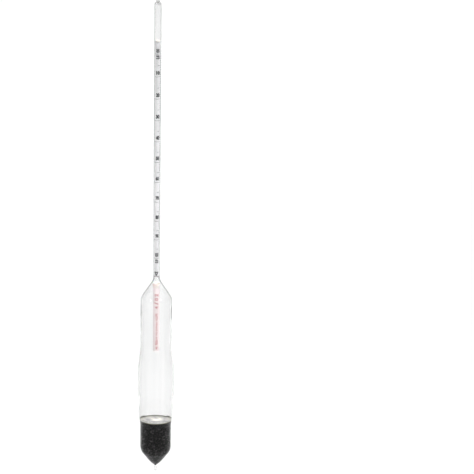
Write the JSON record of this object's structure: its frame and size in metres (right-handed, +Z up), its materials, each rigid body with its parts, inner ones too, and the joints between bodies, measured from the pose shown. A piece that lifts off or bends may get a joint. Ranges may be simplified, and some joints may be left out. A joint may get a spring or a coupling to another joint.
{
  "type": "hydrometer",
  "caption": "Sealed glass density hydrometer: long thin stem with a rolled paper scale, blown float with a pointed bottom, shot ballast under a resin disc.",
  "frame": {"origin": "the lowest point of the float, on its axis", "axes": "+Z up along the axis, from the float's point to the sealed end of the stem; +X to the right with the scale facing -Y"},
  "size_m": [0.0238, 0.0238, 0.33],
  "materials": {
    "clear_glass": "clear, fire polished",
    "scale_stock": "matt white paper, printed in black",
    "label_stock": "matt white paper, printed in red",
    "glue": "dried glue",
    "shot": "dark grains",
    "seal_resin": "glossy poured resin"
  },
  "bodies": {
    "root": {"stem_tube": "clear_glass", "stem_tip": "clear_glass", "neck_weld": "clear_glass", "float_shell": "clear_glass", "tip_bead": "clear_glass", "scale_paper": "scale_stock", "label_paper": "label_stock", "scale_glue": "glue", "label_glue": "glue", "ballast_shot": "shot", "ballast_seal": "seal_resin"}
  },
  "joints": []
}
